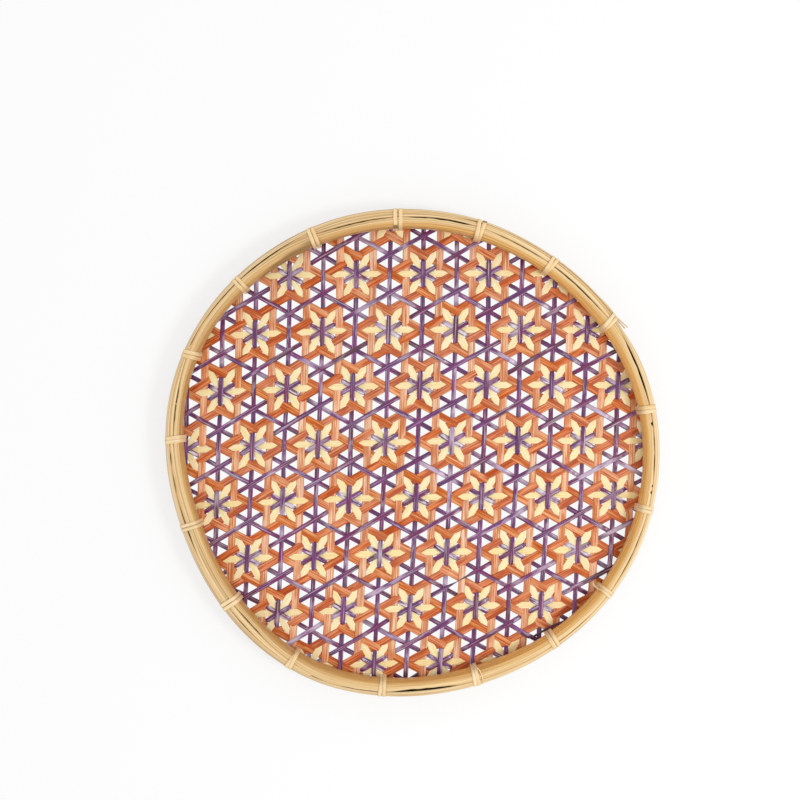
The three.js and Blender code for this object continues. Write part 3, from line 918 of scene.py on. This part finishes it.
def lashing_spot(index, path, face):
    """Share of the brown spot along a lashing."""
    if index not in LASHING_SPOTS:
        return np.zeros(len(path))
    which, place = LASHING_SPOTS[index]
    there = path[:, 0] - (face - 1.2) if place == "inside" else 0.6 - path[:, 0]
    lowest = SPOT_LOWEST[place]
    turned = path[:, 2] > 0 if which else path[:, 2] < 0
    return SPOT_SHARE * smooth(-0.6, 0.2, there) * smooth(lowest, lowest + 2, path[:, 1]) * turned


def make_lashing(index):
    """Two turns side by side."""
    angle = LASHING_ANGLES[index]
    lean, gap_out, gap_in = LASHING_LIE[index]
    face = inner_face(angle)
    turn = lashing_turn(angle, face)
    width = LASHING_WIDTH * chance.uniform(*LASHING_WIDTH_SPREAD)
    path = []
    for k in (0, 1):
        for i, (inset, z) in enumerate(turn):
            inward = np.clip(inset / face, 0, 1)
            gap = gap_out + (gap_in - gap_out) * inward
            side = (k + (i == len(turn) - 1) - 0.5) * (width + gap)
            over = k * LASHING_THICKNESS * smooth(0, 0.4, -gap)
            inset_over = inset + over * (inward > CROSSING_INWARD)
            path.append((inset_over, z + over * (z > CROSSING_Z), side + lean * (inward - 0.5)))
    path = rounded_path(np.array(path[:-1]), 2)
    name = f"lashing_{index + 1:02d}"
    spot = lashing_spot(index, path, face)
    wind_cane(f"{name}_cane", angle, path, width, LASHING_THICKNESS, spot, [name])


# Loose bits of cane: name, angle, width, and a path of insets, heights and places along the rim
LOOSE_THICKNESS = 0.3
LOOSE_CANE = [
    (
        "lashing_14_loop", LASHING_ANGLES[13], 0.9,
        [
            (11.6, 18.6, 0.6), (11.9, 21.2, 1.6), (10.9, 22.9, 3.0), (8.6, 23.2, 4.1),
            (4.8, 23.3, 4.5), (1.6, 23.2, 4.2), (-0.6, 22.7, 3.9), (-1.1, 21.0, 3.8),
        ],
    ),
    (
        "lashing_16_tail", LASHING_ANGLES[15], 1.2,
        [(8.0, 20.6, -1.6), (9.6, 18.4, -2.0), (11.4, 15.6, -2.2), (13.0, 14.4, -1.6), (13.9, 14.2, -0.6)],
    ),
    ("rim_fibre_1", 168.4, 0.55, [(4.4, 22.2, -0.3), (4.9, 22.9, -0.1), (5.9, 22.9, 0.2), (6.5, 22.3, 0.4)]),
    ("rim_fibre_2", 183.5, 0.6, [(0.2, 22.4, 0.1), (0.7, 22.9, 0.1), (1.9, 22.9, 0), (2.5, 22.2, 0)]),
]


def make_loose_cane():
    for name, angle, width, path in LOOSE_CANE:
        path = rounded_path(np.array(path, float), 2)
        wind_cane(name, angle, path, width, LOOSE_THICKNESS, np.zeros(len(path)), [])


# Weave

def lattice_point(u, v):
    """A point of the star lattice in the plane, with the slight bow of the hand-woven mat."""
    flat = STAR + u[..., None] * ACROSS + v[..., None] * DOWN
    x, y = flat[..., 0] / 100, flat[..., 1] / 100
    swell = np.maximum(1.2 - 0.8 * (x * x + y * y), 0)
    bow_x = 1.0 + x * swell - 0.2 * x * x + 0.3 * x * y - 0.8 * y * y
    bow_y = -0.2 + 0.7 * y * swell - x * x - 0.9 * x * y + 0.5 * y * y
    return flat + np.stack([bow_x, bow_y], axis=-1)


def run_counts(u, v):
    """How many upright, rising and falling strips lie between the middle star and a place."""
    return 2 * u + v, u + 2 * v, u - v


def orange_height(run, u, v):
    """Falling passes over rising, rising over upright, upright over falling; all dip under the petals."""
    upright_count, rising_count, falling_count = run_counts(u, v)
    other = {"upright": falling_count, "rising": upright_count, "falling": rising_count}[run]
    petal = {"upright": v, "rising": u, "falling": u + v}[run]
    return -ORANGE_WAVE * np.cos(2 * math.pi * other) - ORANGE_DIP * np.cos(2 * math.pi * petal)


def purple_place(run, count, u, v):
    """From star to star, 0 to 3: 0.5 and 2.5 under both oranges, 1 and 2 in asterisks, 1.5 over both."""
    upright_count, rising_count, _ = run_counts(u, v)
    if run == "upright":
        return np.mod(rising_count + count, 3)
    return np.mod(upright_count + (count if run == "rising" else -2 * count), 3)


def purple_height(run, place):
    """Level at each half of a place and smooth between them."""
    star, asterisk = PURPLE_STAR[run], PURPLE_ASTERISK[run]
    keys = [star, PURPLE_UNDER, asterisk, PURPLE_OVER, asterisk, PURPLE_UNDER, star]
    flat = [0.27, 0.11, 0.12, 0.12, 0.12, 0.11, 0.27]
    height = np.full_like(place, star)
    for k in range(6):
        climb = smooth(0.5 * k + flat[k], 0.5 * (k + 1) - flat[k + 1], place)
        height = np.where(place >= 0.5 * k, keys[k] + (keys[k + 1] - keys[k]) * climb, height)
    return height


def cream_height(run, u, v, sideways):
    """Over the middle orange of each petal, under the crossing oranges halfway between two stars."""
    place = u if run == "level" else v
    pitch = CREAM_PITCHES[run]
    from_star = np.abs(np.mod(place + 0.5, 1) - 0.5) * pitch
    under = np.abs(sideways) * math.cos(math.pi / 6) - (pitch / 2 - ORANGE_WIDTH - from_star) * 0.5
    petal = CREAM_STAR[run] + (CREAM_PETAL - CREAM_STAR[run]) * smooth(*CREAM_CLIMBS, from_star)
    return petal + (CREAM_UNDER - petal) * smooth(*CREAM_DIVES, under)


def strip_height(kind, run, count, u, v, sideways):
    if kind == "orange":
        return orange_height(run, u, v)
    if kind == "purple":
        return purple_height(run, purple_place(run, count, u, v))
    return cream_height(run, u, v, sideways)


def strip_section(shares, rise):
    """Outline of a strip in half widths and half thicknesses: a crisp edge and a top that swells by rise."""
    top = [(share, 1 + rise * (1 - share * share)) for share in shares]
    return [(-1, -0.1), (-0.98, 0.7), *top, (0.98, 0.7), (1, -0.1), (0.97, -0.85), (0, -1), (-0.97, -0.85)]


# The cream strip has more points across, as it drapes under slanting edges
STRIP_SECTIONS = {
    "orange": strip_section((-0.92, -0.5, 0, 0.5, 0.92), 0.2),
    "purple": strip_section((-0.88, -0.5, 0, 0.5, 0.88), 0.45),
    "cream": strip_section((-0.94, -0.7, -0.35, 0, 0.35, 0.7, 0.94), 0.12),
}


def strip_line(run, steps, station):
    """Lattice coordinates along one strip from rim to rim, evenly spaced, or None if it misses the mat."""
    along, step = np.array(RUNS[run])[..., None]
    points = lattice_point(*(steps * step + STRIP_SEARCH * along))
    radius = np.hypot(points[:, 0], points[:, 1])
    if radius.min() > EDGE_STRIP_REACH:
        return None
    limit = rim_radius(np.degrees(np.arctan2(points[:, 1], points[:, 0]))) - STRIP_END_INSET
    inside = np.flatnonzero(radius < limit)
    first, last = inside[0], inside[-1]
    length = np.hypot(*(points[last] - points[first]))
    places = np.linspace(STRIP_SEARCH[first], STRIP_SEARCH[last], max(int(length / station), 4))
    return steps * step + places * along


def swing(length, lengths):
    """A slow swing along a strip, from -1 to 1."""
    return np.sin(length / chance.uniform(*lengths) + chance.uniform(*SWING_PHASES))


def purple_tint(run, count, u, v, worn):
    """Shares along a purple strip of painted highlight, partly wear, and of painted shade where tucked under
    or dark where worn.
    """
    place = purple_place(run, count, u, v)
    near_star = 1 - smooth(0.26, 0.42, np.minimum(place, 3 - place))
    # Painted highlight near a star by run, and painted highlight and wear over both oranges
    highlight_and_wear = STAR_PAINTED_HIGHLIGHT[run] * near_star + OVER_HIGHLIGHT_AND_WEAR * (1 - smooth(0.12, 0.3, np.abs(place - 1.5)))
    # Painted shade where the strip dips under others, or dark where worn
    tucked = np.maximum(TUCKED_PAINTED_SHADE * smooth(0.15, 0.7, -purple_height(run, place)), WORN_DARK * worn)
    return np.stack([highlight_and_wear, tucked, 0 * highlight_and_wear], axis=-1)


def make_strip(name, kind, run, count, material, nodes):
    """One strip over and under the others. Says whether it lies in the mat at all."""
    line = strip_line(run, count + (0.5 if kind == "orange" else 0), STATIONS[kind])
    if line is None:
        return False
    u, v = line
    width = {"orange": ORANGE_WIDTH, "purple": PURPLE_WIDTH}.get(kind) or CREAM_WIDTHS[run]
    half = width / 2 * chance.uniform(*STRIP_WIDTH_SPREAD)
    number = chance.random()
    points = lattice_point(u, v)
    tangent, side = plan_directions(points)
    length = run_length(points)
    drift = chance.uniform(-STRIP_OFFSET, STRIP_OFFSET) + STRIP_WANDER * swing(length, WANDER_LENGTHS)
    points = points + drift[:, None] * side
    half = half * (1 + STRIP_WAVER * swing(length, WAVER_LENGTHS))
    roll = STRIP_ROLL * swing(length, ROLL_LENGTHS)
    worn = np.zeros_like(u)
    if kind == "purple" and (run, count) == WORN_STRIP:
        worn = 1 - smooth(0, WORN_HALF, np.abs(u - WORN_PLACE))
        half = half * (1 - (1 - WORN_LEFT) * worn)
    rings = []
    section = STRIP_SECTIONS[kind]
    for across, up in section:
        sideways = across * half
        height = strip_height(kind, run, count, u, v, sideways)
        slope = np.gradient(height, length)
        lift = up * STRIP_THICKNESS / 2
        z = MAT_Z + height + lift / np.sqrt(1 + slope**2) + roll * sideways
        shift = -lift * slope / np.sqrt(1 + slope**2)
        plan = points + sideways[:, None] * side + shift[:, None] * tangent
        rings.append(np.concatenate([plan, z[:, None]], axis=1))
    across = np.array([place for place, _ in section]) * width / 2
    tint = None
    if kind == "purple":
        tint = np.repeat(purple_tint(run, count, u, v, worn)[:, None], len(section), axis=1)
    fibre = fibre_grid(length, across, number)
    add_piece(name, np.stack(rings, axis=1), fibre, material, nodes, tint)
    return True


# A purple end that has strayed from its strip and lies along the rim, by its path in the plane
STRAY_END = [(80.0, -131.5), (86.3, -135.6), (93.2, -131.4), (101.6, -126.8), (113.2, -122.0)]
STRAY_WIDTH = 1.6
STRAY_LIFT = 1.35
STRAY_NUMBER = 0.3
STRAY_DARK = 0.6


def make_stray_end():
    plan = rounded_path(np.array(STRAY_END), 3)
    _, side = plan_directions(plan)
    across, up = np.array(STRIP_SECTIONS["purple"]).T * [[STRAY_WIDTH / 2], [STRIP_THICKNESS / 2]]
    flat = plan[:, None] + across[None, :, None] * side[:, None]
    z = np.broadcast_to(MAT_Z + STRAY_LIFT + up, flat.shape[:2])
    rings = np.concatenate([flat, z[..., None]], axis=-1)
    fibre = fibre_grid(run_length(plan), across, STRAY_NUMBER)
    tint = np.zeros(rings.shape)
    tint[..., 1] = STRAY_DARK
    add_piece("purple_stray_end", rings, fibre, purple, [], tint)


def place_name(count):
    """A strip's place from the middle star in words."""
    if count == 0:
        return "middle"
    return f"plus_{count}" if count > 0 else f"minus_{-count}"


def make_weave():
    for kind, materials in (("orange", orange), ("purple", dict.fromkeys(DYED_RUNS, purple))):
        for run in DYED_RUNS:
            made = 0
            for count in DYED_COUNTS:
                name = f"{kind}_{run}_{made + 1:02d}"
                made += make_strip(name, kind, run, count, materials[run], [f"{kind}_{run}_strips"])
    for run in CREAM_RUNS:
        for count in CREAM_COUNTS:
            node = f"cream_{run}_{place_name(count)}"
            make_strip(f"{node}_strip", "cream", run, count, cream[run], [node])


# Stage, light and camera
FLOOR_HALF = 1600
FLOOR_DROP = 0.4
FLOOR_COLOUR = (0.97, 0.98, 0.98, 1)
# Share of the floor that shows as plain white: most below the weave, as painted light that lifts the shadow
# there, less around it, where the shadow lies, and more again where it meets the backdrop. The first change
# is out of sight below the rim.
WHITE_BELOW_PAINTED_LIGHT = 0.93
WHITE_AROUND = 0.66
WHITE_FAR = 0.87
WHITE_EDGE = (164, 174)
FAR_EDGE = (300, 1200)
# Strength of the world as light, and where it is seen directly
WORLD_LEVEL = 0.79
BACKDROP_LEVEL = 0.97
LAMP_PLACE = (660, -200, 1020)
LAMP_SIZE = 320
LAMP_WATTS = 4.4
CAMERA_PLACE = (-7.4, 36.9, 850)
CAMERA_LENS = 52.63
CAMERA_SENSOR = 36
WHITE = (1, 1, 1, 1)


def seen_directly(tree):
    """1 for rays from the camera or from a glossy or clear surface, otherwise 0."""
    path = add_node(tree, "LightPath")
    seen = path.outputs["Is Camera Ray"]
    for kind in ("Is Glossy Ray", "Is Transmission Ray"):
        seen = maths(tree, "MAXIMUM", seen, path.outputs[kind])
    return seen


def make_stage():
    half = FLOOR_HALF * MM
    corners = [(-half, -half, 0), (half, -half, 0), (half, half, 0), (-half, half, 0)]
    mesh = bpy.data.meshes.new("floor")
    mesh.from_pydata(corners, [], [(0, 1, 2, 3)])
    material, tree, shader = new_material("floor_white")
    shader.inputs["Base Color"].default_value = FLOOR_COLOUR
    shader.inputs["Roughness"].default_value = 0.9
    glow = add_node(tree, "Emission", {}, {"Color": WHITE, "Strength": seen_directly(tree)})
    place = add_node(tree, "NewGeometry").outputs["Position"]
    away = add_node(tree, "VectorMath", {"operation": "LENGTH"}, {0: place}).outputs["Value"]
    near = map_range(tree, away, *(edge * MM for edge in WHITE_EDGE), WHITE_BELOW_PAINTED_LIGHT, WHITE_AROUND)
    far = map_range(tree, away, *(edge * MM for edge in FAR_EDGE), 0.0, WHITE_FAR - WHITE_AROUND)
    white = maths(tree, "ADD", near, far)
    blend = add_node(tree, "MixShader", {}, {0: white, 1: shader.outputs[0], 2: glow.outputs[0]})
    tree.links.new(blend.outputs[0], tree.nodes["Material Output"].inputs["Surface"])
    mesh.materials.append(material)
    floor = bpy.data.objects.new("floor", mesh)
    floor.location.z = -FLOOR_DROP * MM
    scene.collection.objects.link(floor)


def make_light():
    world = bpy.data.worlds.new("studio")
    scene.world = world
    world.use_nodes = True
    tree = world.node_tree
    level = map_range(tree, seen_directly(tree), 0.0, 1.0, WORLD_LEVEL, BACKDROP_LEVEL)
    background = tree.nodes["Background"]
    background.inputs["Color"].default_value = WHITE
    tree.links.new(level, background.inputs["Strength"])
    lamp = bpy.data.lights.new("softbox", "AREA")
    lamp.shape = "DISK"
    lamp.size = LAMP_SIZE * MM
    lamp.energy = LAMP_WATTS
    softbox = bpy.data.objects.new("softbox", lamp)
    softbox.location = [part * MM for part in LAMP_PLACE]
    softbox.rotation_euler = (-softbox.location).to_track_quat("-Z", "Y").to_euler()
    scene.collection.objects.link(softbox)


def make_camera():
    camera = bpy.data.cameras.new("camera")
    camera.lens = CAMERA_LENS
    camera.sensor_width = CAMERA_SENSOR
    camera.sensor_fit = "HORIZONTAL"
    holder = bpy.data.objects.new("camera", camera)
    holder.location = [part * MM for part in CAMERA_PLACE]
    scene.collection.objects.link(holder)
    scene.camera = holder


make_stage()
make_light()
make_camera()
make_outer_hoop()
make_free_sliver()
make_inner_hoop()
make_rim_cane()
for index in range(len(LASHING_ANGLES)):
    make_lashing(index)
make_loose_cane()
make_weave()
make_stray_end()
